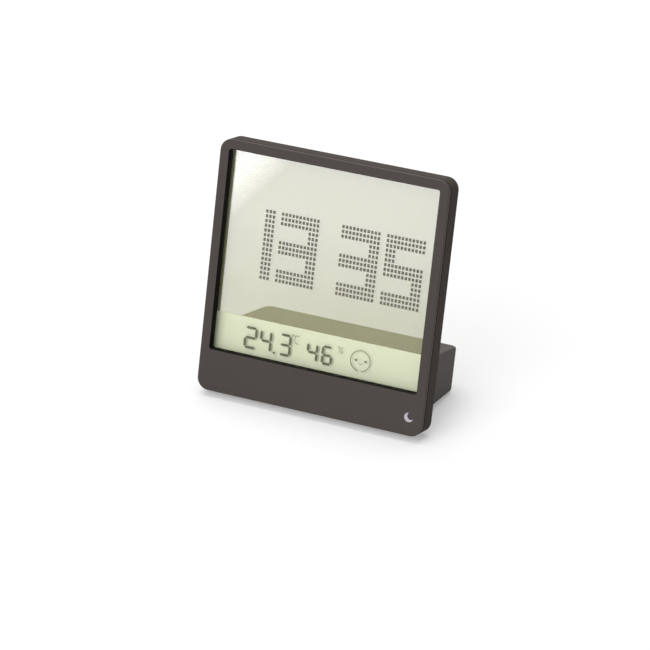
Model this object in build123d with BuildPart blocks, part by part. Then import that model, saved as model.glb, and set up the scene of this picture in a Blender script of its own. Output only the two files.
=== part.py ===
from build123d import *
import math
import os

os.makedirs("parts", exist_ok=True)

# Desk clock with thermometer and hygrometer: a square frame that leans back, with a display one can see
# through, on a block that holds the cells and the electronics. Millimetres, +Z up, the front faces -Y,
# origin on the ground below the middle of the whole object.

# Frame
lean = 13.6  # degrees from upright
frame_width = 110.0
frame_height = 115.0
frame_depth = 10.8
frame_corner_radius = 5.5
plate_thickness = 1.6
seam_width = 0.5
seam_depth = 0.8
bezel_edge_radius = 0.5
rear_edge_radius = 0.5
shell_wall = 1.6
shell_back = 1.6

# Window
window_margin = 4.5
chin_height = 19.2
window_corner_radius = 1.0
window_edge_chamfer = 0.2
recess_depth = 4.2
sill_rise = 1.3  # from the block's top to the lower edge of the rear window
sill_rail = 3.0
ledge_wall = 0.5  # straight part of the rear window's sides, behind the panel
window_flare = 27.0  # degrees that the rear window then widens towards the back

# Bezel rim and snaps
rim_gap = 0.1
rim_thickness = 0.7
snap_length = 6.0
snap_height = 0.4
snap_width = 0.8
snap_clearance = 0.15
snap_spacing = 34.0

# Display stack
lcd_overlap = 1.5  # how far the panel reaches behind the window's edge
polariser_thickness = 0.2
polariser_inset = 0.4
glass_thickness = 0.9
reflector_thickness = 0.12
tape_thickness = 0.3
tape_width = 1.0
layer_gap = 0.03  # adhesive between the panel's layers
ledge_length = 5.5  # contact ledge of the front glass below the rear glass
lcd_drop = 2.2  # from the chin's upper edge to the rear glass's lower edge
strip_lap = 3.05  # how far the reflector reaches above the rear window's lower edge

# Block
block_width = 95.5
rear_wall_height = 20.3  # of the block
block_depth = 41.4
top_fall = 1.15  # degrees that the top falls towards the rear, from square to the frame
floor_rise = 7.3  # degrees that the underside rises towards the rear, from square to the frame
block_wall = 1.8
block_corner_radius = 3.8
block_edge_radius = 0.9
block_lower_radius = 1.5
ground_clearance = 0.4

# Block floor
floor_thickness = 1.8
fit_clearance = 0.15

# Battery bay
cell_diameter = 10.5
cell_length = 44.5
cell_edge_chamfer = 0.4
nub_diameter = 3.8
nub_height = 1.0
cell_gap = 0.5  # between the two cells
cell_clearance = 0.3  # between the cells and the bay
spring_length = 4.0
spring_wire = 0.5
spring_outer_diameter = 7.4
spring_inner_diameter = 5.4  # of the last turn, across the wire's middle
spring_half_turns = 6
contact_thickness = 0.3
contact_height = 9.0
contact_width = 8.0
tab_width = 2.4
tab_clearance = 0.2
bay_wall = 1.2
bay_setback = 8.37  # from the block's rear edge to the bay, along the underside
hood_thickness = 1.2

# Battery door
door_lap = 3.3  # how far the door reaches past the bay at its sides
door_flange = 1.5
door_thickness = 1.7
door_lead = 1.4  # how far the door reaches past the bay at its front
door_clearance = 0.2
slide_gap = 0.1
grip_length = 16.0
grip_width = 1.0
grip_depth = 0.3
grip_pitch = 2.2
grip_count = 4
grip_setback = 4.0

# Boards
board_thickness = 1.0
board_air = 1.2  # above the bay and the hood
board_edge = 2.2  # from the middles of a board's screws to its edge
main_board_front = 5.5  # along the underside from the frame's back
main_board_gap = 5.9  # to the key board
key_board_inset = 6.0  # from the block's sides
key_board_height = 12.4
key_board_edge = 3.0

# Posts and screws
boss_radius = 2.5
screw_radius = 1.0
screw_head_radius = 1.9
screw_head_height = 1.0
screw_clearance = 0.2
socket_radius = 0.8
socket_depth = 0.6
frame_screw_length = 4.6
frame_screw_inset = 11.0  # from the block's sides
frame_screw_drop = 5.3  # from the block's upper and lower edges
floor_screw_length = 8.0
floor_screw_inset = 4.9  # from the block's sides
floor_screw_front = 9.0  # along the underside from the frame's back
floor_screw_setback = 17.9  # from the block's rear edge
board_screw_length = 5.0
post_gap = 0.6  # between the bay and the posts
connector_gap = 0.5  # between the flex's connector and the front screws
board_screw_setback = 3.5  # from the board's rear edge
key_screw_length = 4.4

# Keys
key_diameter = 6.0
key_flange = 0.7
key_flange_thickness = 0.6
key_proud = 1.0
key_edge_chamfer = 0.25
key_clearance = 0.1
key_travel = 0.6
row_margin = 11.75  # from the key board's ends to the middles of the vents and the alarm switch
switch_size = 4.5
switch_body = 1.2
plunger_diameter = 2.4
plunger_length = 0.6

# Alarm switch
knob_width = 3.0
knob_height = 2.2
knob_proud = 1.0
knob_flange = 0.9
knob_flange_thickness = 0.8
knob_travel = 3.0
slide_width = 9.0
slide_height = 4.4
slide_air = 0.2

# Vents and sensors
vent_width = 1.0
vent_height = 7.0
vent_pitch = 2.4
vent_count = 5
sensor_size = 3.0
sensor_height = 1.1
sensor_port_radius = 0.5
sensor_port_depth = 0.3
thermistor_radius = 1.2
thermistor_length = 2.6
sensor_spacing = 6.0  # between the middles of the two

# Parts on the main board
controller_size = 10.0
controller_height = 1.4
crystal_radius = 1.0
crystal_length = 6.0
crystal_x = 9.0
buzzer_radius = 6.0
buzzer_height = 3.2
buzzer_edge_chamfer = 0.4
buzzer_hole_radius = 1.0
buzzer_hole_depth = 1.0
buzzer_x = -20.0
connector_margin = 1.5
connector_depth = 2.6
connector_height = 1.6
connector_setback = 0.6  # from the main board's front edge
mouth_height = 0.4
mouth_depth = 1.4

# Flex strips
flex_thickness = 0.12
flex_width = 48.0
flex_bend = 0.9
flex_slot = 2.2
flex_clearance = 0.5
flex_bond = 3.6
flex_run = 7.7  # depth behind the face where it climbs
flex_insert = 1.2  # into the connector's mouth
key_flex_width = 14.0
key_flex_bend = 1.2
key_flex_overlap = 2.6
key_flex_drop = 4.5
tail_width = 2.0

# Touch field under the snooze mark
touch_inset = 6.8  # from the frame's side
touch_pad_width = 6.0
touch_pad_height = 4.2
touch_gap = 0.4  # to the front glass

# Ribs behind the panel
rib_thickness = 1.2
rib_gap = 5.0  # to the flex

# Feet
rear_foot_radius = 4.0
rear_foot_inset = 10.0  # from the block's sides
rear_foot_setback = 7.2  # middle of the foot from the block's rear corner, along the underside
foot_recess = 0.6
front_foot_length = 14.0
front_foot_width = 2.8
front_foot_setback = 1.2  # from the frame's back
front_foot_inset = 16.0  # from the frame's sides
front_foot_corner_radius = 1.0

cut_overrun = 1.0

# Worked-out sizes of the block
lean_sin = math.sin(math.radians(lean))
lean_cos = math.cos(math.radians(lean))
lean_tan = math.tan(math.radians(lean))
rise_tan = math.tan(math.radians(floor_rise))
rise_sin = math.sin(math.radians(floor_rise))
rise_cos = math.cos(math.radians(floor_rise))
fall_tan = math.tan(math.radians(top_fall))
block_half = block_width / 2
block_lift = block_depth * (lean_tan - rise_tan)
rear_top = block_depth * lean_tan + rear_wall_height
block_top = rear_top + block_depth * fall_tan
floor_tilt = lean - floor_rise

# Worked-out sizes of the frame
window_width = frame_width - 2 * window_margin
window_height = frame_height - window_margin - chin_height
window_centre = chin_height + window_height / 2
sill_height = block_top + sill_rise
strip_top = sill_height + strip_lap
lcd_lower_edge = chin_height - lcd_drop
rear_window_height = frame_height - window_margin - sill_height
rear_window_centre = sill_height + rear_window_height / 2
lcd_width = window_width + 2 * lcd_overlap
lcd_top = frame_height - window_margin + lcd_overlap
rim_length = recess_depth - plate_thickness
front_glass_depth = recess_depth + polariser_thickness + layer_gap
rear_glass_depth = front_glass_depth + glass_thickness + layer_gap
rear_polariser_depth = rear_glass_depth + glass_thickness + layer_gap
stack_rear = rear_polariser_depth + polariser_thickness + layer_gap
ledge_depth = stack_rear + tape_thickness
front_glass_lower = lcd_lower_edge - ledge_length
liner_corner_radius = frame_corner_radius - (frame_width - lcd_width) / 2

# The frame's face: x to the viewer's right, y up the face, z towards the viewer
bezel_reach = bezel_edge_radius * (lean_sin + lean_cos - 1)
edge_reach = block_edge_radius * (lean_sin + lean_cos - 1)
block_reach = (frame_depth + block_depth) * lean_cos + rear_top * lean_sin - edge_reach
face_y = -(bezel_reach + block_reach) / 2
face_z = ground_clearance + frame_depth * lean_sin
face = Plane(origin=(0, face_y, face_z), x_dir=(1, 0, 0), z_dir=(0, -lean_cos, lean_sin))
back = face.offset(-frame_depth)

# Side section behind the frame's back: x rearwards, y up the face
section = Plane(origin=back.origin, x_dir=(0, lean_cos, -lean_sin), z_dir=(1, 0, 0))

# Plan behind the frame's back: x to the viewer's right, y rearwards, z up the face
plan = Plane(origin=back.origin, x_dir=(1, 0, 0), z_dir=(0, lean_sin, lean_cos))

# The block's underside: x to the viewer's right, y rearwards, z up into the block
tilt_sin = math.sin(math.radians(floor_tilt))
tilt_cos = math.cos(math.radians(floor_tilt))
underside = Plane(
    origin=section.from_local_coords((0, block_lift, 0)), x_dir=(1, 0, 0), z_dir=(0, tilt_sin, tilt_cos)
)

# The block's rear wall from outside: x to the left of a viewer in front, y up the face, z rearwards
rear_face = Plane(
    origin=section.from_local_coords((block_depth, 0, 0)), x_dir=(-1, 0, 0), z_dir=(0, lean_cos, -lean_sin)
)

# Battery bay and door, along the underside
rear_corner = block_depth / rise_cos
bay_rear = rear_corner - bay_setback
bay_half = (cell_length + 2 * contact_thickness + spring_length + cell_clearance) / 2
bay_depth = 2 * cell_diameter + cell_gap + 2 * cell_clearance
bay_centre = bay_rear - bay_wall - bay_depth / 2
cell_height = door_thickness + cell_clearance + cell_diameter / 2
bay_ceiling = cell_height + cell_diameter / 2 + cell_clearance
bay_roof = bay_ceiling + bay_wall
cell_offset = (cell_diameter + cell_gap) / 2
cell_shift = (spring_length - cell_clearance) / 2
hood_top = door_thickness + slide_gap + hood_thickness
door_width = 2 * (bay_half + door_lap)
hood_half = door_width / 2 + door_flange + door_clearance + hood_thickness
door_front = bay_rear - 2 * bay_wall - bay_depth - door_lead
door_step = door_thickness / 2

# Depths inward from the block's rear face
key_inner = block_wall + key_clearance + key_flange_thickness
switch_face = key_inner + key_travel + key_clearance
board_face = switch_face + plunger_length + switch_body
board_back = board_face + board_thickness
knob_inner = block_wall + key_clearance + knob_flange_thickness

# Main board, above the bay
main_board_height = bay_roof + board_air
board_top = main_board_height + board_thickness
board_limit = block_depth - board_back - main_board_gap
main_board_rear = (board_limit + board_top * rise_sin) / rise_cos
main_board_length = main_board_rear - main_board_front
board_screw_x = bay_half + bay_wall + post_gap + boss_radius
main_board_width = 2 * (board_screw_x + board_edge)
parts_row = main_board_front + main_board_length / 2

# Connector and flex
connector_front = main_board_front + connector_setback
connector_middle = board_top + connector_height / 2
flex_entry = connector_front + flex_insert / 2
board_screw_front = connector_front + connector_depth + connector_gap + screw_head_radius
flex_height = block_lift + flex_entry * rise_sin + connector_middle * rise_cos
flex_end = (connector_front + flex_insert) * rise_cos - connector_middle * rise_sin

# Key board, above the hood, with the row of the vents, four keys and the alarm switch
hood_line = block_lift + (block_depth - board_back) * rise_tan + hood_top / rise_cos
key_board_lower = hood_line + board_air
key_board_width = 2 * (block_half - key_board_inset)
key_height = key_board_lower + key_board_height / 2
row_pitch = (key_board_width - 2 * row_margin) / 5
vent_x = key_board_width / 2 - row_margin
knob_x = -vent_x

# Chin
touch_x = frame_width / 2 - touch_inset
touch_height = front_glass_lower - touch_gap - touch_pad_height / 2
rib_spacing = flex_width + 2 * rib_gap
rib_height = sill_height - sill_rail - front_glass_lower
rib_centre = front_glass_lower + rib_height / 2

frame_screw_places = [
    (side * (block_half - frame_screw_inset), height)
    for side in (-1, 1) for height in (block_lift + frame_screw_drop, block_top - frame_screw_drop)
]
floor_screw_places = [
    (side * (block_half - floor_screw_inset), along)
    for side in (-1, 1) for along in (floor_screw_front, rear_corner - floor_screw_setback)
]
board_screw_places = [
    (side * board_screw_x, along) for side in (-1, 1)
    for along in (board_screw_front, main_board_rear - board_screw_setback)
]
key_screw_places = [(side * (key_board_width / 2 - key_board_edge), key_height) for side in (-1, 1)]
key_places = [(vent_x - count * row_pitch, key_height) for count in range(1, 5)]
front_foot_places = [
    (side * (frame_width / 2 - front_foot_inset), -front_foot_setback - front_foot_width / 2)
    for side in (-1, 1)
]
rear_foot_places = [
    (side * (block_half - rear_foot_inset), rear_corner - rear_foot_setback) for side in (-1, 1)
]
tab_places = [
    (side * (bay_half - contact_thickness / 2), bay_centre + end * cell_offset)
    for side in (-1, 1) for end in (-1, 1)
]


# Rounded outline of the frame, smaller by an inset, for a sketch on the face
def frame_outline(inset, mode=Mode.ADD):
    with Locations((0, frame_height / 2)):
        RectangleRounded(
            frame_width - 2 * inset, frame_height - 2 * inset, frame_corner_radius - inset, mode=mode
        )


# Rectangle as wide as the display panel less an inset, between two heights on the face
def panel(lower, upper, inset):
    with Locations((0, (lower + upper) / 2)):
        Rectangle(lcd_width - 2 * inset, upper - lower)


# Heights on the face of the snaps along the frame's sides
snap_heights = [window_centre + step * snap_spacing for step in (-1, 0, 1)]


# Height above the frame's bottom edge of a plane that lies above the underside by a rise
def floor_line(along, rise):
    return block_lift + along * rise_tan + rise / rise_cos


# Height above the frame's bottom edge of the block's top, less a depth
def top_line(along, depth):
    return block_top - along * fall_tan - depth


# Solid with the block's plan outline less an inset, between two lines of its side section
def block_solid(inset, lower, upper):
    with BuildPart() as solid:
        with BuildSketch(plan):
            with Locations((0, inset)):
                outline = Rectangle(
                    2 * (block_half - inset), block_depth - 2 * inset, align=(Align.CENTER, Align.MIN)
                )
            fillet(outline.vertices().group_by(Axis.Y)[-1], radius=block_corner_radius - inset)
        extrude(amount=block_top + cut_overrun)
        with BuildSketch(section):
            far = block_depth + cut_overrun
            near = -cut_overrun
            Polygon(
                (near, lower(near)), (far, lower(far)), (far, upper(far)), (near, upper(near)), align=None
            )
        extrude(amount=frame_width, both=True, mode=Mode.INTERSECT)
    return solid.part


# Front bezel: a thin plate with the window and the chin, a rim behind it and snaps on the rim
with BuildPart() as front_bezel:
    with BuildSketch(face):
        frame_outline(0)
        with Locations((0, window_centre)):
            RectangleRounded(window_width, window_height, window_corner_radius, mode=Mode.SUBTRACT)
    extrude(amount=-plate_thickness)
    front_side = front_bezel.faces().sort_by(Axis(face.origin, face.z_dir))[-1]
    outer_edges = front_side.outer_wire().edges()
    chamfer(front_side.inner_wires()[0].edges(), length=window_edge_chamfer)
    fillet(outer_edges, radius=bezel_edge_radius)
    with BuildSketch(face.offset(-plate_thickness)):
        frame_outline(shell_wall + rim_gap)
        frame_outline(shell_wall + rim_gap + rim_thickness, mode=Mode.SUBTRACT)
    extrude(amount=-rim_length)
    with BuildSketch(face.offset(-plate_thickness - rim_length + snap_width)):
        with Locations(*[(0, height) for height in snap_heights]):
            Rectangle(frame_width - 2 * (shell_wall + rim_gap - snap_height), snap_length)
            Rectangle(
                frame_width - 2 * (shell_wall + rim_gap) - rim_thickness, snap_length, mode=Mode.SUBTRACT
            )
    extrude(amount=-snap_width)
front_bezel.part.label = "front_bezel"
export_step(front_bezel.part, "parts/front_bezel.step")

# Window liner: the black inner frame between the bezel and the display panel
with BuildPart() as window_liner:
    with BuildSketch(face.offset(-plate_thickness)):
        with Locations((0, window_centre)):
            RectangleRounded(lcd_width, window_height + 2 * lcd_overlap, liner_corner_radius)
            RectangleRounded(window_width, window_height, window_corner_radius, mode=Mode.SUBTRACT)
    extrude(amount=-(recess_depth - plate_thickness))
window_liner.part.label = "window_liner"
export_step(window_liner.part, "parts/window_liner.step")

# The flared part of the rear window: it widens to both sides and upwards
flare_start = ledge_depth + ledge_wall
with BuildPart() as flare_form:
    with BuildSketch(face.offset(-flare_start)):
        with Locations((0, rear_window_centre)):
            RectangleRounded(window_width, rear_window_height, window_corner_radius)
    extrude(amount=-(frame_depth - flare_start), taper=-window_flare)
    with BuildSketch(face.offset(-flare_start)):
        with Locations((0, sill_height)):
            Rectangle(frame_width, frame_height, align=(Align.CENTER, Align.MIN))
    extrude(amount=-(frame_depth - flare_start), mode=Mode.INTERSECT)

# Rear shell: the rest of the frame, with the seam step at its front, a ledge for the panel, the chin
# pocket, the rear window, bosses for the block's screws and pockets for the front feet
with BuildPart() as rear_shell:
    with BuildSketch(face.offset(-plate_thickness)):
        frame_outline(seam_depth)
    extrude(amount=-seam_width)
    with BuildSketch(face.offset(-plate_thickness - seam_width)):
        frame_outline(0)
    extrude(amount=-(frame_depth - plate_thickness - seam_width))
    rear_side = rear_shell.faces().sort_by(Axis(face.origin, face.z_dir))[0]
    fillet(rear_side.outer_wire().edges(), radius=rear_edge_radius)
    with BuildSketch(face.offset(-plate_thickness)):
        frame_outline(shell_wall)
    extrude(amount=-(ledge_depth - plate_thickness), mode=Mode.SUBTRACT)
    with BuildSketch(face.offset(-ledge_depth)):
        frame_outline(shell_wall)
        with Locations((0, sill_height - sill_rail)):
            Rectangle(
                frame_width, frame_height, align=(Align.CENTER, Align.MIN), mode=Mode.SUBTRACT
            )
    extrude(amount=-(frame_depth - shell_back - ledge_depth), mode=Mode.SUBTRACT)
    with BuildSketch(face.offset(-ledge_depth)):
        with Locations((0, rear_window_centre)):
            RectangleRounded(window_width, rear_window_height, window_corner_radius)
    extrude(amount=-(frame_depth - ledge_depth), mode=Mode.SUBTRACT)
    add(flare_form.part, mode=Mode.SUBTRACT)
    with BuildSketch(face.offset(-plate_thickness - rim_length + snap_width + snap_clearance)):
        with Locations(*[(0, height) for height in snap_heights]):
            Rectangle(
                frame_width - 2 * (shell_wall + rim_gap - snap_height - snap_clearance),
                snap_length + 2 * snap_clearance,
            )
    extrude(amount=-(snap_width + 2 * snap_clearance), mode=Mode.SUBTRACT)
    with BuildSketch(face.offset(-ledge_depth)):
        with Locations(*frame_screw_places):
            Circle(boss_radius)
        with Locations((rib_spacing / 2, rib_centre), (-rib_spacing / 2, rib_centre)):
            Rectangle(rib_thickness, rib_height)
    extrude(amount=-(frame_depth - shell_back - ledge_depth))
    with BuildSketch(face.offset(-rear_glass_depth - flex_thickness)):
        with Locations((touch_x, touch_height)):
            Rectangle(touch_pad_width, touch_pad_height)
    extrude(amount=-(frame_depth - shell_back - rear_glass_depth - flex_thickness))
    with BuildSketch(back):
        with Locations(*frame_screw_places):
            Circle(screw_radius)
    extrude(amount=frame_screw_length - block_wall + fit_clearance, mode=Mode.SUBTRACT)
    with BuildSketch(back):
        with Locations((0, flex_height)):
            Rectangle(flex_width + 2 * flex_clearance, flex_slot)
    extrude(amount=shell_back, mode=Mode.SUBTRACT)
    with BuildSketch(plan):
        with Locations(*front_foot_places):
            RectangleRounded(
                front_foot_length + 2 * fit_clearance, front_foot_width + 2 * fit_clearance,
                front_foot_corner_radius + fit_clearance,
            )
    extrude(amount=foot_recess, mode=Mode.SUBTRACT)
rear_shell.part.label = "rear_shell"
export_step(rear_shell.part, "parts/rear_shell.step")

# Front polariser
with BuildPart() as front_polariser:
    with BuildSketch(face.offset(-recess_depth)):
        panel(lcd_lower_edge + polariser_inset, lcd_top - polariser_inset, polariser_inset)
    extrude(amount=-polariser_thickness)
front_polariser.part.label = "front_polariser"
export_step(front_polariser.part, "parts/front_polariser.step")

# Front glass, with the contact ledge at its lower edge
with BuildPart() as front_glass:
    with BuildSketch(face.offset(-front_glass_depth)):
        panel(front_glass_lower, lcd_top, 0)
    extrude(amount=-glass_thickness)
front_glass.part.label = "front_glass"
export_step(front_glass.part, "parts/front_glass.step")

# Rear glass
with BuildPart() as rear_glass:
    with BuildSketch(face.offset(-rear_glass_depth)):
        panel(lcd_lower_edge, lcd_top, 0)
    extrude(amount=-glass_thickness)
rear_glass.part.label = "rear_glass"
export_step(rear_glass.part, "parts/rear_glass.step")

# Rear polariser
with BuildPart() as rear_polariser:
    with BuildSketch(face.offset(-rear_polariser_depth)):
        panel(lcd_lower_edge + polariser_inset, lcd_top - polariser_inset, polariser_inset)
    extrude(amount=-polariser_thickness)
rear_polariser.part.label = "rear_polariser"
export_step(rear_polariser.part, "parts/rear_polariser.step")

# Reflector film behind the lower strip
with BuildPart() as reflector_film:
    with BuildSketch(face.offset(-stack_rear)):
        panel(lcd_lower_edge + polariser_inset, strip_top, polariser_inset)
    extrude(amount=-reflector_thickness)
reflector_film.part.label = "reflector_film"
export_step(reflector_film.part, "parts/reflector_film.step")

# Foam tape between the panel and the ledge of the rear window, at the sides above the reflector and at
# the top
tape_lower = strip_top + fit_clearance
with BuildPart() as panel_tape:
    with BuildSketch(face.offset(-stack_rear)):
        panel(tape_lower, lcd_top - polariser_inset, polariser_inset)
        with Locations((0, (tape_lower + lcd_top - polariser_inset - tape_width) / 2)):
            Rectangle(
                lcd_width - 2 * (polariser_inset + tape_width),
                lcd_top - polariser_inset - tape_width - tape_lower,
                mode=Mode.SUBTRACT,
            )
    extrude(amount=-tape_thickness)
panel_tape.part.label = "panel_tape"
export_step(panel_tape.part, "parts/panel_tape.step")

# Flex from the panel's contact ledge through the slot to the main board
bond_top = lcd_lower_edge - flex_clearance - flex_thickness
ledge_side = rear_glass_depth - frame_depth + flex_thickness / 2
climb_side = flex_run - frame_depth
with BuildPart() as panel_flex:
    with BuildSketch(section):
        with BuildLine():
            FilletPolyline(
                (ledge_side, bond_top - flex_bond),
                (ledge_side, bond_top),
                (climb_side, bond_top),
                (climb_side, flex_height),
                (flex_end, flex_height),
                radius=flex_bend,
            )
        trace(line_width=flex_thickness)
    extrude(amount=flex_width / 2, both=True)
panel_flex.part.label = "panel_flex"
export_step(panel_flex.part, "parts/panel_flex.step")

# Tail of the flex to the touch field behind the chin
tail_height = bond_top - flex_bond / 2
with BuildPart() as touch_tail:
    with BuildSketch(face.offset(-rear_glass_depth)):
        with Locations((flex_width / 2, tail_height)):
            Rectangle(
                touch_x - flex_width / 2 + tail_width / 2, tail_width, align=(Align.MIN, Align.CENTER)
            )
        with Locations((touch_x, touch_height)):
            Rectangle(tail_width, tail_height - touch_height, align=(Align.CENTER, Align.MIN))
            Rectangle(touch_pad_width, touch_pad_height)
    extrude(amount=-flex_thickness)
touch_tail.part.label = "touch_tail"
export_step(touch_tail.part, "parts/touch_tail.step")

# Conductive foam between the touch field and the bezel
with BuildPart() as touch_foam:
    with BuildSketch(face.offset(-plate_thickness)):
        with Locations((touch_x, touch_height)):
            Rectangle(touch_pad_width, touch_pad_height)
    extrude(amount=-(rear_glass_depth - plate_thickness))
touch_foam.part.label = "touch_foam"
export_step(touch_foam.part, "parts/touch_foam.step")

# The block's outer form, with its edges rounded, from which its housing and the door's end are cut
with BuildPart() as block_form:
    add(block_solid(0, lambda along: floor_line(along, 0), lambda along: top_line(along, 0)))
    top_side = block_form.faces().sort_by(Axis.Z)[-1]
    fillet(top_side.edges().sort_by(Axis(back.origin, section.x_dir))[1:], radius=block_edge_radius)
    low_side = block_form.faces().sort_by(Axis(underside.origin, underside.z_dir))[0]
    fillet(low_side.edges().sort_by(Axis(back.origin, section.x_dir))[1:], radius=block_lower_radius)

# The way that the battery door slides in: a channel with a step for its flanges
channel_far = rear_corner + cut_overrun
with BuildPart() as door_channel:
    with BuildSketch(underside.offset(-cut_overrun)):
        with Locations((0, door_front - door_clearance)):
            Rectangle(
                door_width + 2 * door_clearance, channel_far - door_front + 2 * door_clearance,
                align=(Align.CENTER, Align.MIN),
            )
    extrude(amount=cut_overrun + door_step)
    with BuildSketch(underside.offset(door_step)):
        with Locations((0, door_front - door_clearance)):
            Rectangle(
                door_width + 2 * (door_flange + door_clearance),
                channel_far - door_front + 2 * door_clearance, align=(Align.CENTER, Align.MIN),
            )
    extrude(amount=door_thickness + slide_gap - door_step)

# Block housing: top, front, side and rear walls, with bosses, key holes, the knob's slot and vents
cavity = block_solid(
    block_wall, lambda along: floor_line(along, -cut_overrun),
    lambda along: top_line(along, block_wall),
)
with BuildPart() as block_housing:
    add(block_form.part)
    add(cavity, mode=Mode.SUBTRACT)
    with BuildSketch(underside.offset(floor_thickness)):
        with Locations(*floor_screw_places):
            Circle(boss_radius)
    extrude(amount=block_top)
    with BuildSketch(rear_face.offset(-block_wall)):
        with Locations(*key_screw_places):
            Circle(boss_radius)
    extrude(amount=-(board_face - block_wall))
    add(block_form.part, mode=Mode.INTERSECT)
    with BuildSketch(underside.offset(floor_thickness)):
        with Locations(*floor_screw_places):
            Circle(screw_radius)
    extrude(amount=floor_screw_length - floor_thickness + screw_head_height + fit_clearance,
            mode=Mode.SUBTRACT)
    with BuildSketch(rear_face.offset(-board_face)):
        with Locations(*key_screw_places):
            Circle(screw_radius)
    extrude(amount=key_screw_length - board_thickness + fit_clearance, mode=Mode.SUBTRACT)
    with BuildSketch(back):
        with Locations(*frame_screw_places):
            Circle(screw_radius + screw_clearance)
        with Locations((0, flex_height)):
            Rectangle(flex_width + 2 * flex_clearance, flex_slot)
    extrude(amount=-block_wall, mode=Mode.SUBTRACT)
    with BuildSketch(rear_face):
        with Locations(*key_places):
            Circle(key_diameter / 2 + key_clearance)
        with Locations((knob_x, key_height)):
            Rectangle(knob_width + knob_travel + 2 * key_clearance, knob_height + 2 * key_clearance)
        with Locations((vent_x, key_height)):
            with GridLocations(vent_pitch, vent_pitch, vent_count, 1):
                SlotOverall(vent_height, vent_width, rotation=90)
    extrude(amount=-block_wall, mode=Mode.SUBTRACT)
    add(door_channel.part, mode=Mode.SUBTRACT)
block_housing.part.label = "block_housing"
export_step(block_housing.part, "parts/block_housing.step")

# Block floor: the plate inside the housing's walls, with the battery bay, the hood over the door's way,
# posts for the main board, countersunk screw holes and pockets for the rear feet
slab = block_solid(
    block_wall + fit_clearance, lambda along: floor_line(along, 0),
    lambda along: floor_line(along, hood_top),
)
with BuildPart() as block_floor:
    add(slab)
    with BuildSketch(underside.offset(floor_thickness)):
        Rectangle(2 * frame_width, 4 * block_depth)
        with Locations((0, door_front - door_clearance - hood_thickness)):
            Rectangle(2 * hood_half, 2 * block_depth, align=(Align.CENTER, Align.MIN), mode=Mode.SUBTRACT)
    extrude(amount=hood_top, mode=Mode.SUBTRACT)
    with BuildSketch(underside.offset(floor_thickness)):
        with Locations((0, bay_centre)):
            Rectangle(2 * (bay_half + bay_wall), bay_depth + 2 * bay_wall)
    extrude(amount=bay_roof - floor_thickness)
    with BuildSketch(underside.offset(floor_thickness)):
        with Locations(*board_screw_places):
            Circle(boss_radius)
    extrude(amount=main_board_height - floor_thickness)
    add(door_channel.part, mode=Mode.SUBTRACT)
    with BuildSketch(underside):
        with Locations((0, bay_centre)):
            Rectangle(2 * bay_half, bay_depth)
    extrude(amount=bay_ceiling, mode=Mode.SUBTRACT)
    with BuildSketch(underside.offset(bay_ceiling)):
        with Locations(*tab_places):
            Rectangle(contact_thickness + 2 * tab_clearance, tab_width + 2 * tab_clearance)
    extrude(amount=bay_wall, mode=Mode.SUBTRACT)
    with BuildSketch(underside.offset(main_board_height)):
        with Locations(*board_screw_places):
            Circle(screw_radius)
    extrude(amount=-(board_screw_length - board_thickness + fit_clearance), mode=Mode.SUBTRACT)
    with BuildSketch(underside):
        with Locations(*floor_screw_places):
            Circle(screw_radius + screw_clearance)
    extrude(amount=floor_thickness, mode=Mode.SUBTRACT)
    with BuildSketch(underside):
        with Locations(*floor_screw_places):
            Circle(screw_head_radius + screw_clearance)
    extrude(amount=screw_head_height, mode=Mode.SUBTRACT)
    with BuildSketch(underside):
        with Locations(*rear_foot_places):
            Circle(rear_foot_radius + fit_clearance)
    extrude(amount=foot_recess, mode=Mode.SUBTRACT)
block_floor.part.label = "block_floor"
export_step(block_floor.part, "parts/block_floor.step")

# Battery door: a sliding plate with flanges, its end follows the block's rear face, with finger grooves
with BuildPart() as battery_door:
    with BuildSketch(underside):
        with Locations((0, door_front)):
            Rectangle(door_width, channel_far - door_front, align=(Align.CENTER, Align.MIN))
    extrude(amount=door_thickness)
    with BuildSketch(underside.offset(door_step + slide_gap)):
        with Locations((0, door_front)):
            Rectangle(
                door_width + 2 * door_flange, channel_far - door_front, align=(Align.CENTER, Align.MIN)
            )
    extrude(amount=door_thickness - door_step - slide_gap)
    add(block_form.part, mode=Mode.INTERSECT)
    with BuildSketch(underside):
        with Locations((0, rear_corner - grip_setback - (grip_count - 1) * grip_pitch / 2)):
            with GridLocations(grip_pitch, grip_pitch, 1, grip_count):
                SlotOverall(grip_length, grip_width)
    extrude(amount=grip_depth, mode=Mode.SUBTRACT)
battery_door.part.label = "battery_door"
export_step(battery_door.part, "parts/battery_door.step")

# The two cells lie side by side with their poles opposed; side is where the nub points
for name, side, end in (("cell_front", 1, -1), ("cell_rear", -1, 1)):
    centre = underside.from_local_coords((side * cell_shift, bay_centre + end * cell_offset, cell_height))
    body_length = cell_length - nub_height
    with BuildPart() as cell:
        with BuildSketch(Plane(origin=centre, z_dir=(side, 0, 0)).offset(-cell_length / 2)):
            Circle(cell_diameter / 2)
        extrude(amount=body_length)
        chamfer(cell.edges().filter_by(GeomType.CIRCLE), length=cell_edge_chamfer)
        with BuildSketch(Plane(origin=centre, z_dir=(side, 0, 0)).offset(body_length - cell_length / 2)):
            Circle(nub_diameter / 2)
        extrude(amount=nub_height)
    cell.part.label = name
    export_step(cell.part, f"parts/{name}.step")

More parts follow.
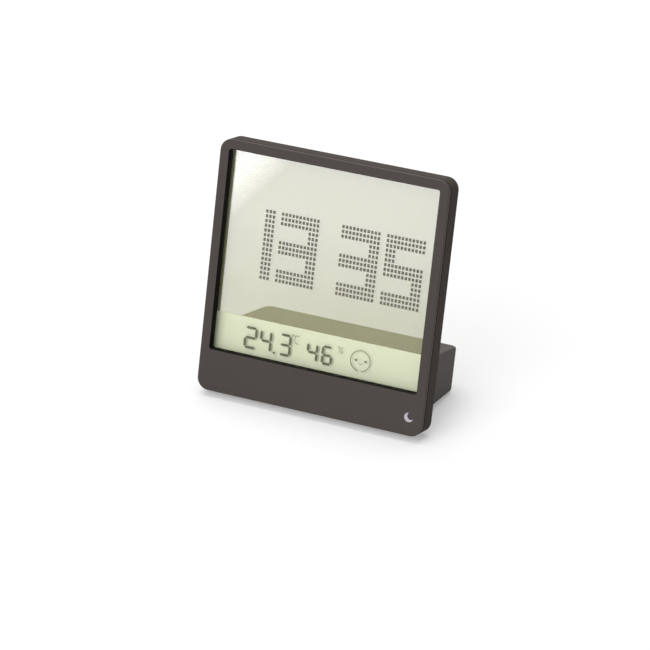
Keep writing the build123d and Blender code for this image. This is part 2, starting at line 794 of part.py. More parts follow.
# Contact plates at the ends of the bay, with solder tabs that pass its roof up to the main board; the
# bridge joins both cells on one side
for name, side, ends in (
    ("positive_contact", -1, (1,)), ("negative_contact", -1, (-1,)), ("bridge_contact", 1, (-1, 1))
):
    plate_x = side * (bay_half - contact_thickness / 2)
    plate_places = [(plate_x, bay_centre + end * cell_offset) for end in ends]
    with BuildPart() as contact:
        with BuildSketch(underside.offset(cell_height - contact_height / 2)):
            with Locations(*plate_places):
                Rectangle(contact_thickness, contact_width)
        extrude(amount=contact_height)
        with BuildSketch(underside.offset(cell_height)):
            with Locations(*plate_places):
                Rectangle(contact_thickness, tab_width)
        extrude(amount=main_board_height - cell_height)
        if len(ends) == 2:
            with BuildSketch(underside.offset(cell_height - tab_width / 2)):
                with Locations((plate_x, bay_centre)):
                    Rectangle(contact_thickness, 2 * cell_offset)
            extrude(amount=tab_width)
    contact.part.label = name
    export_step(contact.part, f"parts/{name}.step")

# Conical springs at the cells' flat ends: half turns, each a level arc at both its ends
arc_samples = 20
wire_sides = 6
coil_rise = (spring_length - spring_wire) / spring_half_turns
coil_start = (spring_outer_diameter - spring_wire) / 2
coil_shrink = (coil_start - spring_inner_diameter / 2) / spring_half_turns
for name, side, end in (("spring_front", 1, -1), ("spring_rear", -1, 1)):
    base_x = -side * (bay_half - contact_thickness - spring_wire / 2)
    base = underside.from_local_coords((base_x, bay_centre + end * cell_offset, cell_height))
    coil_plane = Plane(origin=base, x_dir=underside.z_dir, z_dir=(side, 0, 0))
    knots = [
        ((-1) ** count * (coil_start - count * coil_shrink), count * coil_rise)
        for count in range(spring_half_turns + 1)
    ]
    with BuildPart() as spring:
        with BuildLine(coil_plane) as coil:
            for count, (near, far) in enumerate(zip(knots, knots[1:])):
                swing = (-1) ** count * math.dist(near, far) / 2
                ThreePointArc(
                    (near[0], 0, near[1]),
                    ((near[0] + far[0]) / 2, swing, (near[1] + far[1]) / 2),
                    (far[0], 0, far[1]),
                )
        with BuildSketch(Plane(origin=coil.line @ 0, z_dir=coil.line % 0)):
            RegularPolygon(spring_wire / 2, wire_sides)
        sweep()
    spring.part.label = name
    export_step(spring.part, f"parts/{name}.step")
    points = [arc @ (step / arc_samples) for arc in coil.edges() for step in range(arc_samples)]
    least = min(
        (far - near).length for count, near in enumerate(points) for far in points[count + arc_samples:]
    )
    print(name, "least gap of the coil to itself", round(least - spring_wire, 3))

# Main board on the posts above the bay
with BuildPart() as main_board:
    with BuildSketch(underside.offset(main_board_height)):
        with Locations((0, main_board_front)):
            Rectangle(main_board_width, main_board_length, align=(Align.CENTER, Align.MIN))
        with Locations(*board_screw_places):
            Circle(screw_radius + screw_clearance, mode=Mode.SUBTRACT)
    extrude(amount=board_thickness)
main_board.part.label = "main_board"
export_step(main_board.part, "parts/main_board.step")

# Connector of the panel's flex, with its mouth at the front
with BuildPart() as flex_connector:
    with BuildSketch(underside.offset(board_top)):
        with Locations((0, connector_front)):
            Rectangle(
                flex_width + 2 * connector_margin, connector_depth, align=(Align.CENTER, Align.MIN)
            )
    extrude(amount=connector_height)
    with BuildSketch(underside.offset(connector_middle - mouth_height / 2)):
        with Locations((0, connector_front)):
            Rectangle(flex_width + flex_clearance, mouth_depth, align=(Align.CENTER, Align.MIN))
    extrude(amount=mouth_height, mode=Mode.SUBTRACT)
flex_connector.part.label = "flex_connector"
export_step(flex_connector.part, "parts/flex_connector.step")

# Controller on the main board
with BuildPart() as controller:
    with BuildSketch(underside.offset(board_top)):
        with Locations((0, parts_row)):
            Rectangle(controller_size, controller_size)
    extrude(amount=controller_height)
controller.part.label = "controller"
export_step(controller.part, "parts/controller.step")

# Watch crystal lying beside the controller
crystal_place = underside.from_local_coords((crystal_x, parts_row, board_top + crystal_radius))
with BuildPart() as crystal:
    with BuildSketch(Plane(origin=crystal_place, z_dir=underside.y_dir)):
        Circle(crystal_radius)
    extrude(amount=crystal_length / 2, both=True)
crystal.part.label = "crystal"
export_step(crystal.part, "parts/crystal.step")

# Buzzer with its sound hole
with BuildPart() as buzzer:
    with BuildSketch(underside.offset(board_top)):
        with Locations((buzzer_x, parts_row)):
            Circle(buzzer_radius)
    extrude(amount=buzzer_height)
    buzzer_top = buzzer.faces().sort_by(Axis(underside.origin, underside.z_dir))[-1]
    chamfer(buzzer_top.edges(), length=buzzer_edge_chamfer)
    with BuildSketch(underside.offset(board_top + buzzer_height)):
        with Locations((buzzer_x, parts_row)):
            Circle(buzzer_hole_radius)
    extrude(amount=-buzzer_hole_depth, mode=Mode.SUBTRACT)
buzzer.part.label = "buzzer"
export_step(buzzer.part, "parts/buzzer.step")

# Key board behind the rear wall, screwed to its bosses
with BuildPart() as key_board:
    with BuildSketch(rear_face.offset(-board_face)):
        with Locations((0, key_height)):
            Rectangle(key_board_width, key_board_height)
        with Locations(*key_screw_places):
            Circle(screw_radius + screw_clearance, mode=Mode.SUBTRACT)
    extrude(amount=-board_thickness)
key_board.part.label = "key_board"
export_step(key_board.part, "parts/key_board.step")

# Flex from the main board's rear edge down the inner side of the key board
flex_start = main_board_rear - key_flex_overlap
flex_rise = board_top + flex_thickness / 2
start_side = flex_start * rise_cos - flex_rise * rise_sin
start_height = block_lift + flex_start * rise_sin + flex_rise * rise_cos
turn_side = block_depth - board_back - flex_thickness / 2
turn_height = start_height + (turn_side - start_side) * rise_tan
with BuildPart() as key_flex:
    with BuildSketch(section):
        with BuildLine():
            FilletPolyline(
                (start_side, start_height),
                (turn_side, turn_height),
                (turn_side, turn_height - key_flex_drop),
                radius=key_flex_bend,
            )
        trace(line_width=flex_thickness)
    extrude(amount=key_flex_width / 2, both=True)
key_flex.part.label = "key_flex"
export_step(key_flex.part, "parts/key_flex.step")

# Keys with their flanges behind the wall, and the switches that they press
for name, place in zip(("mode", "up", "down", "unit"), key_places):
    with BuildPart() as key:
        with BuildSketch(rear_face.offset(-key_inner)):
            with Locations(place):
                Circle(key_diameter / 2)
        extrude(amount=key_inner + key_proud)
        key_face = key.faces().sort_by(Axis(rear_face.origin, rear_face.z_dir))[-1]
        chamfer(key_face.edges(), length=key_edge_chamfer)
        with BuildSketch(rear_face.offset(-key_inner)):
            with Locations(place):
                Circle(key_diameter / 2 + key_flange)
        extrude(amount=key_flange_thickness)
    key.part.label = f"{name}_key"
    export_step(key.part, f"parts/{name}_key.step")
    with BuildPart() as key_switch:
        with BuildSketch(rear_face.offset(-board_face)):
            with Locations(place):
                Rectangle(switch_size, switch_size)
        extrude(amount=switch_body)
        with BuildSketch(rear_face.offset(-switch_face)):
            with Locations(place):
                Circle(plunger_diameter / 2)
        extrude(amount=-plunger_length)
    key_switch.part.label = f"{name}_switch"
    export_step(key_switch.part, f"parts/{name}_switch.step")

# Knob of the alarm switch at one end of its slot, with its flange behind the wall
with BuildPart() as alarm_knob:
    with BuildSketch(rear_face.offset(-knob_inner)):
        with Locations((knob_x - knob_travel / 2, key_height)):
            Rectangle(knob_width, knob_height)
    extrude(amount=knob_inner + knob_proud)
    knob_face = alarm_knob.faces().sort_by(Axis(rear_face.origin, rear_face.z_dir))[-1]
    chamfer(knob_face.edges(), length=key_edge_chamfer)
    with BuildSketch(rear_face.offset(-knob_inner)):
        with Locations((knob_x - knob_travel / 2, key_height)):
            Rectangle(knob_width + 2 * knob_flange, knob_height + 2 * knob_flange)
    extrude(amount=knob_flange_thickness)
alarm_knob.part.label = "alarm_knob"
export_step(alarm_knob.part, "parts/alarm_knob.step")

# Body of the alarm switch on the key board
with BuildPart() as alarm_switch:
    with BuildSketch(rear_face.offset(-board_face)):
        with Locations((knob_x, key_height)):
            Rectangle(slide_width, slide_height)
    extrude(amount=board_face - knob_inner - slide_air)
alarm_switch.part.label = "alarm_switch"
export_step(alarm_switch.part, "parts/alarm_switch.step")

# Humidity sensor and thermistor on the key board behind the vents
sensor_place = (vent_x + sensor_spacing / 2, key_height)
with BuildPart() as humidity_sensor:
    with BuildSketch(rear_face.offset(-board_face)):
        with Locations(sensor_place):
            Rectangle(sensor_size, sensor_size)
    extrude(amount=sensor_height)
    with BuildSketch(rear_face.offset(-board_face + sensor_height)):
        with Locations(sensor_place):
            Circle(sensor_port_radius)
    extrude(amount=-sensor_port_depth, mode=Mode.SUBTRACT)
humidity_sensor.part.label = "humidity_sensor"
export_step(humidity_sensor.part, "parts/humidity_sensor.step")

bead_place = rear_face.from_local_coords(
    (vent_x - sensor_spacing / 2, key_height, thermistor_radius - board_face)
)
with BuildPart() as thermistor:
    with BuildSketch(Plane(origin=bead_place, z_dir=rear_face.y_dir)):
        Circle(thermistor_radius)
    extrude(amount=thermistor_length / 2, both=True)
    chamfer(thermistor.edges().filter_by(GeomType.CIRCLE), length=thermistor_radius / 3)
thermistor.part.label = "thermistor"
export_step(thermistor.part, "parts/thermistor.step")

# Screws: the frame's from inside the block's front wall, the floor's from below, the boards' from inside
wall_seat = Plane(
    origin=section.from_local_coords((block_wall, 0, 0)), x_dir=(-1, 0, 0), z_dir=rear_face.z_dir
)
floor_seat = Plane(
    origin=underside.offset(screw_head_height).origin, x_dir=(-1, 0, 0), z_dir=-underside.z_dir
)
key_seat = Plane(
    origin=rear_face.offset(-board_back).origin, x_dir=(1, 0, 0), z_dir=-rear_face.z_dir
)
for name, seat, places, length in (
    ("frame_screw", wall_seat, frame_screw_places, frame_screw_length),
    ("floor_screw", floor_seat, floor_screw_places, floor_screw_length),
    ("board_screw", underside.offset(board_top), board_screw_places, board_screw_length),
    ("key_screw", key_seat, key_screw_places, key_screw_length),
):
    for count, place in enumerate(places, start=1):
        with BuildPart() as screw:
            with BuildSketch(seat):
                with Locations(place):
                    Circle(screw_radius)
            extrude(amount=-length)
            with BuildSketch(seat):
                with Locations(place):
                    Circle(screw_head_radius)
            extrude(amount=screw_head_height)
            with BuildSketch(seat.offset(screw_head_height)):
                with Locations(place):
                    RegularPolygon(socket_radius, 6)
            extrude(amount=-socket_depth, mode=Mode.SUBTRACT)
        screw.part.label = f"{name}_{count}"
        export_step(screw.part, f"parts/{name}_{count}.step")

# Feet in their pockets, cut level where they meet the ground
foot_reach = frame_depth * lean_tan + foot_recess + ground_clearance
for name, front_place, rear_place in zip(("left", "right"), front_foot_places, rear_foot_places):
    with BuildPart() as front_foot:
        with BuildSketch(plan.offset(foot_recess)):
            with Locations(front_place):
                RectangleRounded(front_foot_length, front_foot_width, front_foot_corner_radius)
        extrude(amount=-foot_reach)
        split(bisect_by=Plane.XY, keep=Keep.TOP)
    front_foot.part.label = f"front_foot_{name}"
    export_step(front_foot.part, f"parts/front_foot_{name}.step")
    with BuildPart() as rear_foot:
        with BuildSketch(underside.offset(foot_recess)):
            with Locations(rear_place):
                Circle(rear_foot_radius)
        extrude(amount=-foot_reach)
        split(bisect_by=Plane.XY, keep=Keep.TOP)
    rear_foot.part.label = f"rear_foot_{name}"
    export_step(rear_foot.part, f"parts/rear_foot_{name}.step")
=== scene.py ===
import math

import bpy
from mathutils import Euler, Matrix, Vector


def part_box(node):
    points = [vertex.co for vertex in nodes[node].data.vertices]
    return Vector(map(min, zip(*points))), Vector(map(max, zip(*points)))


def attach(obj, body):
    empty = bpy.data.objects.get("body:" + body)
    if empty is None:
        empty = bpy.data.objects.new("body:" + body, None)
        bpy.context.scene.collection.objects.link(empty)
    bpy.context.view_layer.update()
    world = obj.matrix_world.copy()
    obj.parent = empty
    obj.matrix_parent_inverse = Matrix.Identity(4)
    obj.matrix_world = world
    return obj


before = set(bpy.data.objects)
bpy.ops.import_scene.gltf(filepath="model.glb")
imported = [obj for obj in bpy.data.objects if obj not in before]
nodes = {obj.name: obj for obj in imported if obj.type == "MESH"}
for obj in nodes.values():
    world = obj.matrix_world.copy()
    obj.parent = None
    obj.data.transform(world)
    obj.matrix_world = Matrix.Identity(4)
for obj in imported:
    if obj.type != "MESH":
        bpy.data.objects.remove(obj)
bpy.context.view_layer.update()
mm = 0.001
print("model loaded,", len(nodes), "nodes")

# The clock's face: across from its left edge, up from its lower edge and depth inwards,
# in millimetres as all lengths below are, if nothing else is said
face = {
    "origin": (0.0, -28.891, 2.940),
    "lean": 13.6,  # degrees
    "width": 110.0,
    "chin": 19.2,
    "margin": 4.5,
    "top": 115.0,
    "stripTop": 35.5,
    "panelDepth": 5.25,  # where the display's signs lie
    "signHeight": 0.05,
    "backWall": 52.2,  # depth of the block's rear wall
}
leanSin = math.sin(math.radians(face["lean"]))
leanCos = math.cos(math.radians(face["lean"]))
faceUp = (0.0, leanSin, leanCos)
faceOut = (0.0, -leanCos, leanSin)
faceOrigin = Vector(face["origin"]) * mm
facePlace = Matrix((
    (1, 0, 0, faceOrigin.x),
    (0, leanSin, -leanCos, faceOrigin.y),
    (0, leanCos, leanSin, faceOrigin.z),
    (0, 0, 0, 1),
))

# The block's rear wall, parallel to the face and read from behind
backOrigin = faceOrigin - Vector(faceOut) * face["backWall"] * mm
backPlace = Matrix((
    (-1, 0, 0, backOrigin.x),
    (0, leanSin, leanCos, backOrigin.y),
    (0, leanCos, -leanSin, backOrigin.z),
    (0, 0, 0, 1),
))
weldDistance = 1e-6  # metres
strokeRounding = 0.4  # corner radius as a share of a stroke's width
squareOn = 0.9  # a face looks along an axis where its normal has at least this much of it


def clearSelection():
    bpy.ops.object.select_all(action="DESELECT")


def pick(*objects):
    clearSelection()
    for obj in objects:
        obj.select_set(True)
    bpy.context.view_layer.objects.active = objects[0]


def applyPlace(obj):
    pick(obj)
    bpy.ops.object.transform_apply(location=True, rotation=True, scale=True)


def applyModifiers(obj):
    pick(obj)
    for modifier in list(obj.modifiers):
        bpy.ops.object.modifier_apply(modifier=modifier.name)


def joinPieces(name, pieces):
    pick(*pieces)
    if len(pieces) > 1:
        bpy.ops.object.join()
    joined = bpy.context.view_layer.objects.active
    joined.name = name
    joined.data.name = name
    return joined


# A piece that was made flat at the origin goes to its place on the clock
def placePiece(obj, material, place=facePlace):
    obj.matrix_world = place @ obj.matrix_world
    applyPlace(obj)
    obj.data.materials.clear()
    obj.data.materials.append(material)
    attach(obj, "clock")
    return obj


# A copy of a placed piece with a mesh of its own, moved across
def copyAcross(obj, name, shift):
    twin = obj.copy()
    twin.data = obj.data.copy()
    twin.name = name
    twin.data.name = name
    bpy.context.scene.collection.objects.link(twin)
    twin.location.x += shift * mm
    applyPlace(twin)
    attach(twin, "clock")


def selectFaces(obj, test):
    bpy.ops.object.mode_set(mode="OBJECT")
    for item in (*obj.data.vertices, *obj.data.edges):
        item.select = False
    for polygon in obj.data.polygons:
        polygon.select = test(polygon)
    bpy.ops.object.mode_set(mode="EDIT")
    bpy.ops.mesh.select_mode(type="FACE")


# The middle of a flat sign in metres, from its place on the face and its lower side's depth
def signMiddle(centre, depth, height):
    return Vector((centre[0] - face["width"] / 2, centre[1], -depth + height / 2)) * mm


# A flat block, with its sides along and across the face
def slab(name, centre, size, depth, height):
    clearSelection()
    bpy.ops.mesh.primitive_cube_add(size=1, location=signMiddle(centre, depth, height))
    obj = bpy.context.active_object
    obj.name = name
    obj.scale = (size[0] * mm, size[1] * mm, height * mm)
    applyPlace(obj)
    return obj


# A flat tile with rounded corners
def tile(name, centre, size, corner, depth=face["panelDepth"], height=face["signHeight"],
         steps=2):
    obj = slab(name, centre, size, depth, height)
    bpy.ops.object.mode_set(mode="EDIT")
    bpy.ops.mesh.select_mode(type="EDGE")
    bpy.ops.mesh.select_all(action="DESELECT")
    bpy.ops.object.mode_set(mode="OBJECT")
    vertices = obj.data.vertices
    for edge in obj.data.edges:
        first, second = (vertices[index].co for index in edge.vertices)
        edge.select = abs(first.z - second.z) > height * mm / 2
    bpy.ops.object.mode_set(mode="EDIT")
    bpy.ops.mesh.bevel(offset=corner * mm, segments=steps, affect="EDGES")
    bpy.ops.object.mode_set(mode="OBJECT")
    return obj


# A straight stroke, turned anticlockwise by its angle in degrees
def stroke(name, centre, length, angle, width, depth=face["panelDepth"],
           height=face["signHeight"]):
    bar = tile(name, (face["width"] / 2, 0), (length, width), width * strokeRounding, depth, height)
    bar.matrix_world = (
        Matrix.Translation(Vector((centre[0] - face["width"] / 2, centre[1], 0)) * mm)
        @ Matrix.Rotation(math.radians(angle), 4, "Z")
    )
    applyPlace(bar)
    return bar


# An arc's stroke, swept anticlockwise from its start angle, both in degrees
def arc(name, centre, radius, start, sweep, width, steps, depth=face["panelDepth"],
        height=face["signHeight"]):
    clearSelection()
    middle = signMiddle(centre, depth, height)
    angle = math.radians(start)
    outward = Vector((math.cos(angle), math.sin(angle), 0))
    bpy.ops.mesh.primitive_plane_add(size=1, location=middle + outward * radius * mm)
    obj = bpy.context.active_object
    obj.name = name
    obj.scale = (width * mm, height * mm, 1)
    obj.rotation_euler = (math.radians(90), 0, angle)
    applyPlace(obj)
    bpy.ops.object.mode_set(mode="EDIT")
    bpy.ops.mesh.select_all(action="SELECT")
    bpy.ops.mesh.spin(steps=steps, angle=-math.radians(sweep), center=middle, axis=(0, 0, 1))
    bpy.ops.mesh.select_all(action="SELECT")
    bpy.ops.mesh.remove_doubles(threshold=weldDistance)
    bpy.ops.mesh.select_all(action="SELECT")
    bpy.ops.mesh.normals_make_consistent(inside=False)
    bpy.ops.object.mode_set(mode="OBJECT")
    return obj


# Shader nodes: values go to sockets by name or number, settings to the node itself
def addNode(tree, kind, values=None, **settings):
    node = tree.nodes.new(kind)
    for key, value in settings.items():
        setattr(node, key, value)
    for key, value in (values or {}).items():
        if isinstance(value, bpy.types.NodeSocket):
            tree.links.new(value, node.inputs[key])
        else:
            node.inputs[key].default_value = value
    return node


def calculate(tree, operation, *values):
    node = addNode(tree, "ShaderNodeMath", dict(enumerate(values)), operation=operation)
    return node.outputs[0]


def ramp(tree, factor, low, high, first=0.0, second=1.0):
    node = addNode(tree, "ShaderNodeMapRange", {
        "Value": factor, "From Min": low, "From Max": high, "To Min": first, "To Max": second,
    })
    return node.outputs["Result"]


mixSockets = {"factor": 0, "first": 6, "second": 7, "result": 2}  # of a Mix node for colours


def mixColours(tree, factor, first, second):
    mix = addNode(tree, "ShaderNodeMix", data_type="RGBA")
    tree.links.new(factor, mix.inputs[mixSockets["factor"]])
    for title, value in (("first", first), ("second", second)):
        socket = mix.inputs[mixSockets[title]]
        if isinstance(value, bpy.types.NodeSocket):
            tree.links.new(value, socket)
        else:
            socket.default_value = (*value, 1.0)
    return mix.outputs[mixSockets["result"]]


def newMaterial(name):
    material = bpy.data.materials.new(name)
    material.use_nodes = True
    shader = material.node_tree.nodes["Principled BSDF"]
    return material, material.node_tree, shader


def newGroup(name, inputs, outputs):
    group = bpy.data.node_groups.new(name, "ShaderNodeTree")
    kind = "NodeSocketFloat"
    for title, value in inputs:
        socket = group.interface.new_socket(name=title, in_out="INPUT", socket_type=kind)
        socket.default_value = value
    for title in outputs:
        group.interface.new_socket(name=title, in_out="OUTPUT", socket_type=kind)
    return group, group.nodes.new("NodeGroupInput"), group.nodes.new("NodeGroupOutput")


# Fine grain of the mould and broad uneven patches
grainLook = {
    "grainScale": 3000.0,  # repeats in a metre
    "grainDetail": 3.0,
    "grainRoughness": 0.6,
    "patchScale": 40.0,
    "patchDetail": 2.0,
}


def makeGrainGroup():
    group, start, end = newGroup(
        "mouldGrain",
        (("Grain Scale", grainLook["grainScale"]), ("Patch Scale", grainLook["patchScale"])),
        ("Grain", "Patch"),
    )
    place = addNode(group, "ShaderNodeTexCoord")
    spot = place.outputs["Object"]
    pits = addNode(group, "ShaderNodeTexVoronoi", {
        "Vector": spot, "Scale": start.outputs["Grain Scale"],
    })
    speckle = addNode(group, "ShaderNodeTexNoise", {
        "Vector": spot, "Scale": start.outputs["Grain Scale"],
        "Detail": grainLook["grainDetail"], "Roughness": grainLook["grainRoughness"],
    })
    both = calculate(group, "MULTIPLY", pits.outputs["Distance"], speckle.outputs["Fac"])
    patch = addNode(group, "ShaderNodeTexNoise", {
        "Vector": spot, "Scale": start.outputs["Patch Scale"], "Detail": grainLook["patchDetail"],
    })
    group.links.new(both, end.inputs["Grain"])
    group.links.new(patch.outputs["Fac"], end.inputs["Patch"])
    return group


# Where a point lies on the clock's face, in millimetres
def makeFaceGroup():
    group, start, end = newGroup("facePlace", (), ("Across", "Up", "Depth"))
    place = addNode(group, "ShaderNodeTexCoord")
    for title, direction, shift, turn in (
        ("Across", (1, 0, 0), face["width"] / 2, 1),
        ("Up", faceUp, 0.0, 1),
        ("Depth", faceOut, 0.0, -1),
    ):
        dot = addNode(group, "ShaderNodeVectorMath", {0: place.outputs["Object"], 1: direction},
                      operation="DOT_PRODUCT")
        base = Vector(direction).dot(faceOrigin)
        value = calculate(group, "MULTIPLY_ADD", dot.outputs["Value"], turn / mm,
                          shift - turn * base / mm)
        group.links.new(value, end.inputs[title])
    return group


grainGroup = makeGrainGroup()
faceGroup = makeFaceGroup()
patchRange = (0.3, 0.7)  # the noise's values over which a patch fades in


def placeGrain(tree, look):
    return addNode(tree, "ShaderNodeGroup", {
        "Grain Scale": look["grainScale"], "Patch Scale": look["patchScale"],
    }, node_tree=grainGroup)


def addColour(tree, shader, factor, first, second):
    tree.links.new(mixColours(tree, factor, first, second), shader.inputs["Base Color"])


def addRoughness(tree, shader, factor, span, spread):
    tree.links.new(ramp(tree, factor, *span, *spread), shader.inputs["Roughness"])


def addBump(tree, shader, height, strength, distance):
    bump = addNode(tree, "ShaderNodeBump", {
        "Height": height, "Strength": strength, "Distance": distance * mm,
    })
    tree.links.new(bump.outputs["Normal"], shader.inputs["Normal"])


# Moulded plastic, rubber and resin: a base colour with lighter patches, and grain in its surface
def plastic(name, look):
    material, tree, shader = newMaterial(name)
    grain = placeGrain(tree, look)
    patch = grain.outputs["Patch"]
    addColour(tree, shader, ramp(tree, patch, *patchRange), look["colour"], look["patchColour"])
    addRoughness(tree, shader, patch, patchRange, look["roughness"])
    addBump(tree, shader, grain.outputs["Grain"], look["grainStrength"], look["grainDepth"])
    shader.inputs["Specular IOR Level"].default_value = look["shine"]
    return material


def paint(names, material):
    for name in names.split():
        slots = nodes[name].data.materials
        slots.clear()
        slots.append(material)


# The case
caseLook = {
    "colour": (0.066, 0.056, 0.051),
    "patchColour": (0.072, 0.062, 0.056),
    "roughness": (0.50, 0.58),
    "shine": 0.14,
    "grainScale": 2600.0,
    "grainStrength": 0.35,
    "grainDepth": 0.05,
    "patchScale": 28.0,
    # painted shade: the window's edge and the seam are coloured black
    "paintedShadeColour": (0.004, 0.004, 0.002),
    "revealRoughness": 1.0,
    "paintedShadeDepths": (0.02, 4.3),  # from which to which the window's edge is painted black as shade
    "revealLap": 0.2,  # how far that reaches into the plate
    # where the seam's painted shade lies, and how wide it is
    "seamShadeDepth": 1.85,
    "seamShadeHalfWidth": 0.36,
}


# The case's plastic is painted black in its seam and on the plate's edge round the window: painted
# shade
def makeCaseMaterial(name, look):
    material = plastic(name, look)
    tree = material.node_tree
    shader = tree.nodes["Principled BSDF"]
    spot = addNode(tree, "ShaderNodeGroup", node_tree=faceGroup)
    windowTop = face["top"] - face["margin"]
    halfWidth = face["width"] / 2 - face["margin"] + look["revealLap"]
    halfHeight = (windowTop - face["chin"]) / 2 + look["revealLap"]
    middle = (windowTop + face["chin"]) / 2
    nearest, farthest = look["paintedShadeDepths"]
    sideways = calculate(tree, "SUBTRACT", spot.outputs["Across"], face["width"] / 2)
    sideways = calculate(tree, "ABSOLUTE", sideways)
    upright = calculate(tree, "SUBTRACT", spot.outputs["Up"], middle)
    upright = calculate(tree, "ABSOLUTE", upright)
    mask = calculate(tree, "LESS_THAN", sideways, halfWidth)
    for operation, value, limit in (
        ("LESS_THAN", upright, halfHeight),
        ("GREATER_THAN", spot.outputs["Depth"], nearest),
        ("LESS_THAN", spot.outputs["Depth"], farthest),
    ):
        inside = calculate(tree, operation, value, limit)
        mask = calculate(tree, "MULTIPLY", mask, inside)
    # painted shade in the seam's groove, where bezel and shell meet
    seamShade = calculate(tree, "SUBTRACT", spot.outputs["Depth"], look["seamShadeDepth"])
    seamShade = calculate(tree, "ABSOLUTE", seamShade)
    seamShade = calculate(tree, "LESS_THAN", seamShade, look["seamShadeHalfWidth"])
    mask = calculate(tree, "MAXIMUM", mask, seamShade)
    plain = shader.inputs["Base Color"].links[0].from_socket
    # painted shade: black wherever the masks hold
    addColour(tree, shader, mask, plain, look["paintedShadeColour"])
    plain = shader.inputs["Roughness"].links[0].from_socket
    rest = calculate(tree, "SUBTRACT", look["revealRoughness"], plain)
    rough = calculate(tree, "MULTIPLY_ADD", rest, mask, plain)
    tree.links.new(rough, shader.inputs["Roughness"])
    return material


shellLook = dict(
    caseLook, colour=(0.066, 0.057, 0.050), patchColour=(0.072, 0.062, 0.055),
    roughness=(0.60, 0.68), shine=0.015,
)
baseLook = dict(
    caseLook, colour=(0.064, 0.055, 0.050), patchColour=(0.072, 0.062, 0.057), grainStrength=0.5,
)
paint("front_bezel", makeCaseMaterial("caseSatin", caseLook))
paint("block_housing", plastic("blockSatin", caseLook))
paint("rear_shell", makeCaseMaterial("shellMatt", shellLook))
paint("block_floor battery_door", plastic("baseGrained", baseLook))

# The black frame in the window, the keys and the feet
linerLook = {
    "colour": (0.006, 0.006, 0.004),
    "patchColour": (0.009, 0.009, 0.006),
    "roughness": (0.55, 0.65),
    "shine": 0.02,
    "grainScale": 2200.0,
    "grainStrength": 0.25,
    "grainDepth": 0.03,
    "patchScale": 60.0,
}
keyLook = dict(
    caseLook, colour=(0.088, 0.077, 0.072), patchColour=(0.095, 0.083, 0.078),
    roughness=(0.42, 0.48),
)
rubberLook = dict(
    linerLook, colour=(0.012, 0.012, 0.012), patchColour=(0.020, 0.020, 0.020),
    roughness=(0.8, 0.9), shine=0.15, grainScale=1500.0, grainStrength=0.5,
)
paint("window_liner", plastic("linerBlack", linerLook))
paint("mode_key up_key down_key unit_key alarm_knob", plastic("keySatin", keyLook))
paint("front_foot_left front_foot_right rear_foot_left rear_foot_right",
      plastic("footRubber", rubberLook))

# Foam and tape, and the plastic of the small parts
foamLook = dict(
    rubberLook, colour=(0.010, 0.010, 0.010), grainScale=5000.0, grainStrength=0.9,
    grainDepth=0.15,
)
tapeLook = dict(
    foamLook, colour=(0.68, 0.66, 0.56), patchColour=(0.72, 0.70, 0.60), grainStrength=0.5,
)
resinLook = dict(
    linerLook, colour=(0.010, 0.010, 0.011), patchColour=(0.016, 0.016, 0.017), shine=0.3,
)
connectorLook = dict(
    linerLook, colour=(0.56, 0.52, 0.43), patchColour=(0.62, 0.58, 0.49),
    roughness=(0.35, 0.45), shine=0.3,
)
switchLook = dict(
    linerLook, colour=(0.016, 0.016, 0.016), patchColour=(0.022, 0.022, 0.022), shine=0.3,
)
paint("touch_foam", plastic("foamBlack", foamLook))
paint("panel_tape", plastic("tapeWhite", tapeLook))
paint("controller buzzer thermistor", plastic("resinBlack", resinLook))
paint("flex_connector humidity_sensor", plastic("connectorWhite", connectorLook))
paint("mode_switch up_switch down_switch unit_switch", plastic("switchBlack", switchLook))
print("plastics made")


# Plated and zinc-coated metal
def metal(name, look):
    material, tree, shader = newMaterial(name)
    grain = placeGrain(tree, look)
    patch = grain.outputs["Patch"]
    span = look["patchRange"]
    addColour(tree, shader, ramp(tree, patch, *span), look["colour"], look["patchColour"])
    addRoughness(tree, shader, patch, span, look["roughness"])
    addBump(tree, shader, grain.outputs["Grain"], look["grainStrength"], look["grainDepth"])
    shader.inputs["Metallic"].default_value = 1.0
    return material


nickelLook = {
    "colour": (0.60, 0.59, 0.56),
    "patchColour": (0.68, 0.67, 0.64),
    "roughness": (0.22, 0.34),
    "grainScale": 4000.0,
    "grainStrength": 0.15,
    "grainDepth": 0.02,
    "patchScale": 220.0,
    "patchRange": (0.35, 0.65),
}
zincLook = dict(
    nickelLook, colour=(0.20, 0.20, 0.21), patchColour=(0.27, 0.27, 0.28), roughness=(0.35, 0.5),
)
screwNames = [name for name in nodes if "_screw_" in name]
paint("positive_contact negative_contact bridge_contact spring_front spring_rear crystal "
      "alarm_switch", metal("contactNickel", nickelLook))
paint(" ".join(screwNames), metal("screwZinc", zincLook))

# The cells' wrap: plain foil with a dark band at one end
cellLook = {
    "wrap": (0.33, 0.35, 0.38),
    "band": (0.03, 0.035, 0.05),
    "bandShare": 0.35,  # of the cell's length
    "metallic": 0.8,
    "roughness": (0.25, 0.4),
    "grainScale": 1800.0,
    "grainStrength": 0.1,
    "grainDepth": 0.02,
    "patchScale": 90.0,
}


def makeCellMaterial():
    material, tree, shader = newMaterial("cellFoil")
    low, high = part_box("cell_front")
    place = addNode(tree, "ShaderNodeTexCoord")
    parts = addNode(tree, "ShaderNodeSeparateXYZ", {0: place.outputs["Object"]})
    along = ramp(tree, parts.outputs["X"], low.x, high.x)
    band = calculate(tree, "LESS_THAN", along, cellLook["bandShare"])
    grain = placeGrain(tree, cellLook)
    addColour(tree, shader, band, cellLook["wrap"], cellLook["band"])
    addRoughness(tree, shader, grain.outputs["Patch"], patchRange, cellLook["roughness"])
    shader.inputs["Metallic"].default_value = cellLook["metallic"]
    addBump(tree, shader, grain.outputs["Grain"], cellLook["grainStrength"],
            cellLook["grainDepth"])
    return material


